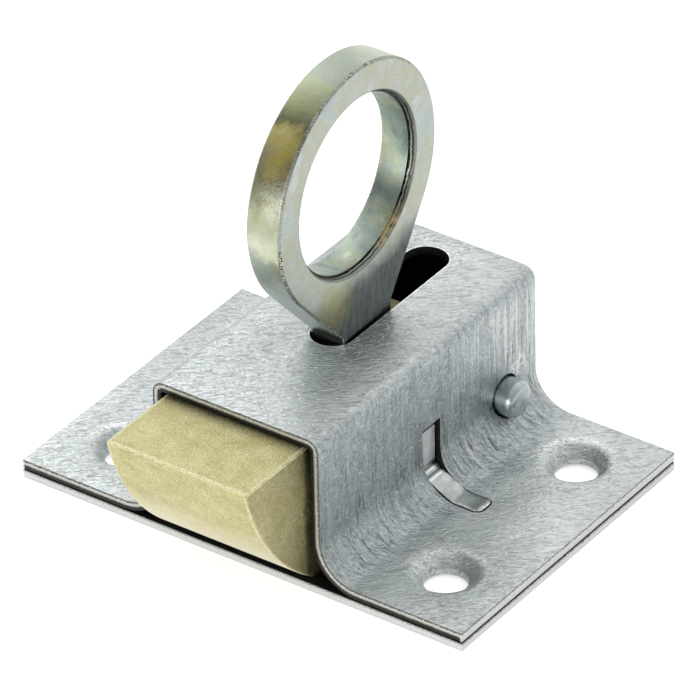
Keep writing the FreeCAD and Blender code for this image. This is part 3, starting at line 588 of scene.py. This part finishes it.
ring_face, ring_rim, ring_eye = (passivated_zinc("zinc_yellow_passivated_" + where, where)
                                 for where in ("face", "rim", "eye"))

# %% [markdown]
# The ring was stamped, so its edges carry fine nicks that shine white beside a dark burr, and the step
# in the mouth of its eye is dark where the punch tore the steel. Lines run round that step, one below the
# other, and its rear part has a warm glint.

# %% Nicked and torn edge materials of the ring
GLINT_AT = (ring_high.x, ring_middle.y + 6.2 * MM, ring_middle.z - 9.0 * MM)
STEP_LINES = ((0.25, "#8b9087"), (0.38, "#1f2322"), (0.52, "#5c615c"), (0.66, "#c9cdc1"), (0.78, "#3a3f3c"),
              (0.94, "#1a1e1d"))


def nicked_zinc(name):
    material, tree, place = new_material(name)
    nicks = grain(tree, place, 0.22, roughness=0.7)
    sharp = add_node(tree, "ValToRGB", nicks, stops=((0.42, "#35372f"), (0.52, "#85887b"), (0.60, "#fbfcf8")))
    worn = add_node(tree, "ValToRGB", nicks, stops=((0.36, "#8f948a"), (0.66, "#bcc1b7")))
    stretch_of_edge = add_node(tree, "MapRange", grain(tree, place, 3.0, detail=2), 0.46, 0.66)
    fill_shader(tree, layer(tree, worn, sharp, stretch_of_edge), 1.0, 0.34, nicks, 0.04)
    return material


def punched_step(name):
    material, tree, place = new_material(name)
    waver = grain(tree, place, 0.9, roughness=0.6)
    sway = product(tree, add_node(tree, "Math", waver, 0.5, operation="SUBTRACT"), 0.5 * MM)
    across = add_node(tree, "SeparateXYZ", place)
    below_face = add_node(tree, "Math", ring_high.x, across, operation="SUBTRACT")
    below_face = add_node(tree, "Math", below_face, sway, operation="ADD")
    lines = add_node(tree, "ValToRGB", add_node(tree, "MapRange", below_face, 0.0, 0.9 * MM), stops=STEP_LINES)
    from_glint = add_node(tree, "VectorMath", place, GLINT_AT, operation="DISTANCE")
    glint = product(tree, add_node(tree, "MapRange", from_glint, 3.6 * MM, 1.0 * MM),
                    add_node(tree, "MapRange", waver, 0.40, 0.56))
    fill_shader(tree, layer(tree, lines, "#e0c692", glint, 0.75), 1.0, 0.32, waver, 0.05)
    return material


ring_edge = nicked_zinc("zinc_nicked_edge")
ring_tear = punched_step("punched_steel_step")

# %% [markdown]
# ## Pin and spring
# The pin is plated bar with a turned end, and the spring is drawn wire. Both are smoother than the
# sheet. Drawn wire shows only fine lengthwise lines, too thin to see at this scale, so both take slow
# scuffs about a millimetre across.

# %% Plated bar and wire materials
def plated_steel(name, dark, light, roughness):
    material, tree, place = new_material(name)
    scuffs = grain(tree, place, 1.2, detail=3)
    colour = add_node(tree, "ValToRGB", scuffs, stops=((0.30, dark), (0.70, light)))
    gloss = add_node(tree, "MapRange", scuffs, 0.3, 0.7, roughness - 0.05, roughness + 0.08)
    fill_shader(tree, colour, 1.0, gloss, scuffs, 0.012)
    return material


pin_zinc = plated_steel("zinc_plated_bar", "#a9b1b3", "#ccd3d4", 0.30)
spring_wire = plated_steel("drawn_spring_wire", "#70757a", "#a4a9ac", 0.28)

# %% [markdown]
# ## Copying a piece from the frame
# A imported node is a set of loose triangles. To break its sharp edges, a copy is welded first, and then a
# Bevel modifier rounds each edge that turns by more than a set angle. Every edge on real sheet metal has
# a small radius, and it is this radius that catches the light.

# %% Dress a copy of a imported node
def plain_mesh(thing):
    """Bake an object's modifiers into a plain mesh and take the modifiers off."""
    graph = bpy.context.evaluated_depsgraph_get()
    mesh = bpy.data.meshes.new_from_object(thing.evaluated_get(graph))
    thing.modifiers.clear()
    thing.data = mesh


def welded_copy(node, name, materials):
    thing = bpy.data.objects.new(name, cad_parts[node].data.copy())
    bpy.context.scene.collection.objects.link(thing)
    mesh = bmesh.new()
    mesh.from_mesh(thing.data)
    bmesh.ops.remove_doubles(mesh, verts=mesh.verts, dist=0.002 * MM)
    bmesh.ops.dissolve_degenerate(mesh, edges=mesh.edges, dist=0.0005 * MM)
    mesh.to_mesh(thing.data)
    mesh.free()
    thing.data.materials.clear()
    for material in materials:
        thing.data.materials.append(material)
    return thing


def shade(thing, angle=32):
    for polygon in thing.data.polygons:
        polygon.use_smooth = True
    thing.data.set_sharp_from_angle(angle=math.radians(angle))


def break_edges(thing, width_mm, angle=40, edge_material=-1):
    bevel = thing.modifiers.new("broken edges", "BEVEL")
    bevel.width = width_mm * MM
    bevel.segments = 2
    bevel.limit_method = "ANGLE"
    bevel.angle_limit = math.radians(angle)
    bevel.use_clamp_overlap = True
    bevel.material = edge_material
    plain_mesh(thing)
    shade(thing)


# %% [markdown]
# ## The case
# The case keeps its packed form. Three finishes meet on it: the zinc of the outside, the bright cut edges
# along its outline, and the dark zinc of the inside, painted as shade, which also fills the narrow cuts of
# the slot and the slits. Each face is told apart by where it lies on the bent section and by which way it
# looks.

# %% Depth in the bent sheet
SHEET = 1.1 * MM
flange_top, shoulder, root = 2.35 * MM, 1.5 * MM, 4.7 * MM
root_x, root_z = half_channel + root, flange_top + root
shoulder_x, shoulder_z = half_channel - shoulder, case_high.z - shoulder


def depth_in_case(place):
    """0 on the outer face of the case's sheet and 1 on its inner face."""
    side, height = abs(place.x), place.z
    if side >= root_x:
        depth = flange_top - height
    elif height < root_z and side > half_channel - 1.5 * SHEET:
        depth = math.hypot(side - root_x, height - root_z) - root
    elif height > shoulder_z and side > shoulder_x:
        depth = shoulder - math.hypot(side - shoulder_x, height - shoulder_z)
    elif side > half_channel - 1.5 * SHEET:
        depth = half_channel - side
    else:
        depth = case_high.z - height
    return min(max(depth / SHEET, 0.0), 1.0)


def mark_depth(thing, depth):
    marks = thing.data.attributes.new("sheet_depth", "FLOAT", "POINT")
    for vertex in thing.data.vertices:
        marks.data[vertex.index].value = depth(vertex.co)


# %% Faces of the case
OUTSIDE, CUT, INSIDE, RUBBED = 0, 1, 2, 3
MARGIN = 0.03 * MM


def case_finish(centre, normal):
    side, looks_along = abs(centre.x), abs(normal.y) > 0.9
    if (looks_along and centre.y < case_low.y + MARGIN
            or looks_along and centre.y > case_high.y - MARGIN and side > half_channel - SHEET
            or abs(normal.x) > 0.9 and side > case_high.x - MARGIN):
        return CUT
    through_roof = side < 3 * MM and centre.z > case_high.z - SHEET - MARGIN and abs(normal.z) < 0.5
    through_slit = (abs(normal.y) > 0.8 and side > 9.9 * MM or side > 18 * MM and abs(normal.z) < 0.3
                    and centre.y < 2.5 * MM) and -2 * MM < centre.y < 3 * MM
    under_flange = side > 15.8 * MM and normal.z < -0.3
    from_root = math.hypot(side - root_x, centre.z - root_z)
    under_root = 10 * MM < side < root_x and centre.z < root_z and from_root > root + SHEET / 2
    under_roof = side < 10.2 * MM and centre.z < case_high.z - SHEET + MARGIN
    in_channel = under_roof and centre.y < case_high.y - MARGIN
    # Inside faces and the narrow cuts take the dark zinc painted as shade.
    return INSIDE if through_roof or through_slit or under_flange or under_root or in_channel else OUTSIDE


def paint_faces(thing, finish):
    for polygon in thing.data.polygons:
        polygon.material_index = finish(polygon.center, polygon.normal)


# %% Make the case
case_piece = welded_copy("latch_case", "case_sheet_metal", [case_zinc, cut_edge, inner_shade_zinc, rubbed_edge])
paint_faces(case_piece, case_finish)
mark_depth(case_piece, depth_in_case)
break_edges(case_piece, 0.18, edge_material=RUBBED)
for polygon in case_piece.data.polygons:
    if polygon.material_index == RUBBED and polygon.center.y < case_low.y + 0.25 * MM:
        polygon.material_index = CUT
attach(case_piece, "case")
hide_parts("latch_case")
print("case faces", len(case_piece.data.polygons))

# %% [markdown]
# ## The base plate
# The base plate is flat sheet with two lugs. Each lug stands up in its slit beside the bolt, and its
# tongue is folded out over the flange. The tongue is smooth and has a finish of its own: the crease of
# the fold is painted as lines of shade and highlight, the upright bar is lighter as a painted reflection,
# its rims carry broken painted highlights, a painted shadow line runs along the far side of its flat part,
# and the flat part is darker in patches.

# %% Tongue material
TONGUE_FROM, TONGUE_TO, tongue_tip = -1.1 * MM, 1.7 * MM, half_channel + 7.4 * MM
fold_z = flange_top + 2.6 * MM
CREASE_SHADE_AND_HIGHLIGHT = ((0.10, 0.10, "#4c5352"), (0.32, 0.09, "#f6f9f8"), (0.62, 0.10, "#545b5a"), (0.86, 0.10, "#f9fbfa"))


def tongue_rim_highlights(tree, place, side, along, on_flat, on_bar):
    """Painted highlights, broken, along both sides of the tongue and at its tip."""
    near_side = add_node(tree, "MapRange", along, TONGUE_FROM + 0.45 * MM, TONGUE_FROM + 0.15 * MM)
    far_side = add_node(tree, "MapRange", along, TONGUE_TO - 0.50 * MM, TONGUE_TO - 0.20 * MM)
    at_tip = add_node(tree, "MapRange", side, tongue_tip - 0.60 * MM, tongue_tip - 0.25 * MM)
    anywhere = add_node(tree, "Math", on_flat, on_bar, operation="MAXIMUM")
    far_or_tip = add_node(tree, "Math", product(tree, far_side, on_bar), at_tip, operation="MAXIMUM")
    lit_rims = add_node(tree, "Math", product(tree, near_side, anywhere), far_or_tip, operation="MAXIMUM")
    return product(tree, lit_rims, add_node(tree, "MapRange", grain(tree, place, 0.5, detail=3), 0.36, 0.56))


def pressed_tongue(name):
    material, tree, place = new_material(name)
    across, along, height = add_node(tree, "SeparateXYZ", place, out=XYZ)
    side = add_node(tree, "Math", across, operation="ABSOLUTE")
    smear = grain(tree, place, 1.3, detail=3, stretch=(1.0, 2.0, 1.0))
    colour = add_node(tree, "ValToRGB", smear, stops=((0.34, "#a4acab"), (0.50, "#bac1c0"), (0.66, "#d3d9d8")))
    on_flat = add_node(tree, "MapRange", side, half_channel + 3.6 * MM, half_channel + 4.0 * MM)
    patchy = add_node(tree, "MapRange", grain(tree, place, 0.8, detail=3), 0.36, 0.52, 0.55, 1.0)
    on_flat = product(tree, on_flat, patchy)
    colour = layer(tree, colour, "#747c7a", on_flat, 0.40)
    on_bar = add_node(tree, "MapRange", height, fold_z + 0.1 * MM, fold_z + 0.5 * MM)
    # The upright bar is lighter as a painted reflection.
    colour = layer(tree, colour, "#e9eeee", on_bar, 0.65)
    # Painted highlights along the rims.
    colour = layer(tree, colour, "#ffffff", tongue_rim_highlights(tree, place, side, along, on_flat, on_bar), 0.95)
    # A dark painted shadow line along the far side of the flat part.
    far_side_shadow_line = add_node(tree, "MapRange", along, TONGUE_TO - 0.18 * MM, TONGUE_TO - 0.08 * MM)
    colour = layer(tree, colour, "#343a39", product(tree, far_side_shadow_line, on_flat), 0.85)
    # The crease of the fold: lines of painted shade and painted highlight.
    for drop, width, tone in CREASE_SHADE_AND_HIGHLIGHT:
        line = add_node(tree, "Math", height, fold_z - drop * MM, operation="SUBTRACT")
        line = add_node(tree, "Math", line, operation="ABSOLUTE")
        line = add_node(tree, "MapRange", line, 0.4 * width * MM, width * MM, 0.85, 0.0)
        on_foot = add_node(tree, "MapRange", side, half_channel + 3 * MM, half_channel + 2 * MM)
        colour = layer(tree, colour, tone, product(tree, line, on_foot))
    metallic = add_node(tree, "MapRange", on_bar, 0.0, 1.0, 1.0, 0.35)
    fill_shader(tree, colour, metallic, 0.33, smear, 0.04)
    return material


tongue_zinc = pressed_tongue("galvanised_tongue")


# %% Make the base plate
TONGUE = 4
PLATE_SHEET = 1.0 * MM


def depth_in_plate(place):
    return min(max((plate_low.z + PLATE_SHEET - place.z) / PLATE_SHEET, 0.0), 1.0)


def plate_finish(centre, normal):
    side = abs(centre.x)
    if (abs(normal.y) > 0.9 and not plate_low.y + MARGIN < centre.y < plate_high.y - MARGIN
            or abs(normal.x) > 0.9 and side > plate_high.x - MARGIN):
        return CUT
    if side > 9.6 * MM and centre.z > 1.1 * MM:
        return TONGUE
    in_seam = normal.z > 0.9 and centre.z < 1.1 * MM
    by_bolt = side < 9.9 * MM and abs(normal.x) > 0.9 and centre.z > 0.9 * MM
    # The seam and the faces beside the bolt take the dark zinc painted as shade.
    return INSIDE if in_seam or by_bolt else OUTSIDE


plate_piece = welded_copy("base_plate", "base_sheet_metal",
                          [plate_zinc, plate_edge, inner_shade_zinc, rubbed_edge, tongue_zinc])
paint_faces(plate_piece, plate_finish)
mark_depth(plate_piece, depth_in_plate)
break_edges(plate_piece, 0.14, edge_material=RUBBED)
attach(plate_piece, "case")
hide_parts("base_plate")
print("plate faces", len(plate_piece.data.polygons))

# %% [markdown]
# ## The bolt
# The imported bolt already has the rounded edges of the casting. The faces that look between two of its
# flat sides are those edges, so they take the rubbed finish, lighter partly as painted highlight, and all
# others take the tumbled one.

# %% Make the bolt
def bolt_finish(_, normal):
    on_flank_edge = 0.35 < abs(normal.x) < 0.92
    on_tip_edge = normal.y < -0.35 and 0.45 < normal.z < 0.92
    return 1 if on_flank_edge or on_tip_edge else 0


bolt_piece = welded_copy("latch_bolt", "cast_bolt", [casting, worn_and_highlit_casting])
paint_faces(bolt_piece, bolt_finish)
shade(bolt_piece)
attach(bolt_piece, "bolt")
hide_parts("latch_bolt")
print("bolt faces", len(bolt_piece.data.polygons))

# %% [markdown]
# ## The ring
# The ring is one flat stamping. Its faces, rim and eye carry the film in different ways, the broken
# corners are nicked, and the step in the mouth of the eye is torn steel.

# %% Make the ring
FACE, RIM, EYE, NICKED, TORN = 0, 1, 2, 3, 4


def ring_finish(centre, normal):
    from_middle = math.hypot(centre.y - ring_middle.y, centre.z - ring_middle.z)
    in_eye = from_middle < 11.6 * MM and centre.z > ring_middle.z - 11.6 * MM
    if in_eye and 10.65 * MM < from_middle and 0 < centre.x < ring_high.x - 0.35 * MM:
        return TORN
    if 0.4 < abs(normal.x) < 0.9:
        return TORN if in_eye and centre.x > 0 else NICKED
    if abs(normal.x) >= 0.9:
        return FACE
    return EYE if in_eye else RIM


ring_piece = welded_copy("pull_ring", "stamped_ring", [ring_face, ring_rim, ring_eye, ring_edge, ring_tear])
paint_faces(ring_piece, ring_finish)
break_edges(ring_piece, 0.08, angle=25)
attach(ring_piece, "bolt")
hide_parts("pull_ring")
print("ring faces", len(ring_piece.data.polygons))

# %% [markdown]
# ## The pin
# The pin is a plain turned bar. Its packed form has the rounded ends already, so it only needs its
# finish.

# %% Make the pin
pin_piece = welded_copy("cross_pin", "turned_pin", [pin_zinc])
shade(pin_piece)
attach(pin_piece, "case")
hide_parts("cross_pin")
print("pin faces", len(pin_piece.data.polygons))

# %% [markdown]
# ## The spring
# A compression spring is a helix with its last turns closed up and ground flat. Geometry Nodes draw it:
# a line of points is bent round the axis by its own index, and the pitch narrows at both ends. A circle
# swept along it makes the wire.

# %% Grow the spring with Geometry Nodes
POINTS = 480
CLOSING = 0.115


def spring_tree(material):
    tree = bpy.data.node_groups.new("closed_end_spring", "GeometryNodeTree")
    tree.interface.new_socket("Geometry", in_out="OUTPUT", socket_type="NodeSocketGeometry")
    for name in ("Length", "Radius", "Wire", "Turns"):
        tree.interface.new_socket(name, in_out="INPUT", socket_type="NodeSocketFloat")
    given = tree.nodes.new("NodeGroupInput").outputs
    line = add_node(tree, "GeometryNodeMeshLine", Count=POINTS)
    index = add_node(tree, "GeometryNodeInputIndex")
    along = add_node(tree, "Math", index, float(POINTS - 1), operation="DIVIDE")
    turn = product(tree, along, given["Turns"], 2 * math.pi)
    swing = add_node(tree, "Math", product(tree, along, 2 * math.pi), operation="SINE")
    closed = add_node(tree, "Math", along, product(tree, swing, CLOSING), operation="SUBTRACT")
    free = add_node(tree, "Math", given["Length"], given["Wire"], operation="SUBTRACT")
    across = product(tree, add_node(tree, "Math", turn, operation="COSINE"), given["Radius"])
    up = product(tree, add_node(tree, "Math", turn, operation="SINE"), given["Radius"])
    spot = add_node(tree, "CombineXYZ", across, product(tree, closed, free), up)
    bent = add_node(tree, "GeometryNodeSetPosition", Geometry=line, Position=spot)
    path = add_node(tree, "GeometryNodeMeshToCurve", bent)
    round_wire = add_node(tree, "GeometryNodeCurvePrimitiveCircle", Resolution=14,
                          Radius=product(tree, given["Wire"], 0.5))
    tube = add_node(tree, "GeometryNodeCurveToMesh", Curve=path, Profile_Curve=round_wire, Fill_Caps=True)
    real = add_node(tree, "GeometryNodeRealizeInstances", tube)
    dressed = add_node(tree, "GeometryNodeSetMaterial", Geometry=real, Material=material)
    tree.links.new(dressed, tree.nodes.new("NodeGroupOutput").inputs["Geometry"])
    return tree


# %% Make the spring
WIRE, TURNS = 0.8 * MM, 11.0
spring_length = spring_high.y - spring_low.y
spring_outside = (spring_high.z - spring_low.z) / 2
spring_middle = (spring_low.z + spring_high.z) / 2
spring_piece = bpy.data.objects.new("coil_spring", bpy.data.meshes.new("coil_spring"))
bpy.context.scene.collection.objects.link(spring_piece)
grow = spring_piece.modifiers.new("spring", "NODES")
grow.node_group = spring_tree(spring_wire)
settings = {"Length": spring_length, "Radius": spring_outside - WIRE / 2, "Wire": WIRE, "Turns": TURNS}
for item in grow.node_group.interface.items_tree:
    if item.name in settings:
        grow[item.identifier] = settings[item.name]
plain_mesh(spring_piece)
spring_piece.data.transform(Matrix.Translation((0, spring_low.y + WIRE / 2, spring_middle)))
repaired = bmesh.new()
repaired.from_mesh(spring_piece.data)
bmesh.ops.recalc_face_normals(repaired, faces=repaired.faces)
repaired.to_mesh(spring_piece.data)
repaired.free()
shade(spring_piece, 60)
print("spring", spring_length / MM, "mm long, faces", len(spring_piece.data.polygons))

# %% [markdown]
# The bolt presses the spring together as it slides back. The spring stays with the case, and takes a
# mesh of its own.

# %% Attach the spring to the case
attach(spring_piece, "case")
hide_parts("bolt_spring")
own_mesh(spring_piece)

# %% [markdown]
# ## Studio
# The latch stands on a white sweep in a pale room. The room is bright above and behind the latch, where
# the large window is, and dim in front of it, so that the satin faces show which way they look. The
# sweep looks white to the camera and in the metal, and it keeps the latch's shadow.

# %% Floor
floor = bpy.data.objects.new("floor", bpy.data.meshes.new("floor"))
bpy.context.scene.collection.objects.link(floor)
reach = 3.0
floor.data.from_pydata([(-reach, -reach, 0), (reach, -reach, 0), (reach, reach, 0), (-reach, reach, 0)], [],
                       [(0, 1, 2, 3)])
floor_paper = bpy.data.materials.new("pale_paper_sweep")
floor_paper.use_nodes = True
floor_tree = floor_paper.node_tree
floor_shader = floor_tree.nodes["Principled BSDF"]
floor_shader.inputs["Base Color"].default_value = linear("#f6f6f6")
floor_shader.inputs["Roughness"].default_value = 0.9
floor_shader.inputs["Emission Color"].default_value = linear("#ffffff")
to_camera, through_glass, in_metal = add_node(
    floor_tree, "LightPath", out=("Is Camera Ray", "Is Transmission Ray", "Is Glossy Ray"))
seen = add_node(floor_tree, "Math", to_camera, through_glass, operation="MAXIMUM")
seen = add_node(floor_tree, "Math", product(floor_tree, seen, 0.60), product(floor_tree, in_metal, 0.34),
                operation="MAXIMUM")
floor_tree.links.new(seen, floor_shader.inputs["Emission Strength"])
floor.data.materials.append(floor_paper)
floor.location.z = -0.02 * MM

# %% World
world = bpy.data.worlds.new("studio")
bpy.context.scene.world = world
world.use_nodes = True
sky = world.node_tree
background = sky.nodes["Background"]
toward_window = add_node(sky, "VectorMath", add_node(sky, "TexCoord", out="Generated"),
                         (-0.18, 0.74, 0.648), operation="DOT_PRODUCT")
background.inputs["Color"].default_value = linear("#ffffff")
sky.links.new(add_node(sky, "MapRange", toward_window, -0.3, 0.9, 0.28, 1.02), background.inputs["Strength"])

# %% [markdown]
# Two soft lamps stand in the room: a square window high on the left, and a long white card low in front,
# which lights the bolt's nose and the cut edges.

# %% Lamps
def soft_lamp(name, place_mm, size_mm, radiance):
    """An area lamp aimed at the latch. Its radiance is compared with a white surface's 1."""
    lamp = bpy.data.lights.new(name, "AREA")
    lamp.shape = "RECTANGLE"
    lamp.size, lamp.size_y = (side * MM for side in size_mm)
    lamp.energy = radiance * math.pi * lamp.size * lamp.size_y
    thing = bpy.data.objects.new(name, lamp)
    bpy.context.scene.collection.objects.link(thing)
    thing.location = Vector(place_mm) * MM
    thing.rotation_euler = (Vector((0, 0, 15)) * MM - thing.location).to_track_quat("-Z", "Y").to_euler()
    print(name, "watts", round(lamp.energy, 3))


soft_lamp("window_from_the_left", (-520, 170, 430), (520, 520), 0.9)
soft_lamp("card_from_the_front", (60, -650, 50), (700, 200), 4.4)

# %% [markdown]
# ## Camera
# The camera's place and its long lens were worked out from the corners of the plate, the channel's
# edges and the ring in the photograph.

# %% Camera
CAMERA_PLACE_MM = (439.7, -605.5, 517.5)
CAMERA_AZIMUTH, CAMERA_ELEVATION, CAMERA_ROLL = 35.97, 33.78, -1.19
FOCAL_PIXELS, IMAGE_PIXELS = 8085.0, 696.0
camera_data = bpy.data.cameras.new("camera")
camera_data.sensor_width = 36.0
camera_data.sensor_fit = "HORIZONTAL"
camera_data.lens = FOCAL_PIXELS / IMAGE_PIXELS * camera_data.sensor_width
camera_data.clip_start, camera_data.clip_end = 0.01, 20.0
camera = bpy.data.objects.new("camera", camera_data)
bpy.context.scene.collection.objects.link(camera)
aim = (Matrix.Rotation(math.radians(CAMERA_AZIMUTH), 4, "Z")
       @ Matrix.Rotation(math.radians(90 - CAMERA_ELEVATION), 4, "X")
       @ Matrix.Rotation(math.radians(CAMERA_ROLL), 4, "Z"))
camera.matrix_world = Matrix.Translation(Vector(CAMERA_PLACE_MM) * MM) @ aim
bpy.context.scene.camera = camera
bpy.context.scene.view_settings.view_transform = "Standard"
print("lens in mm", round(camera_data.lens, 1))
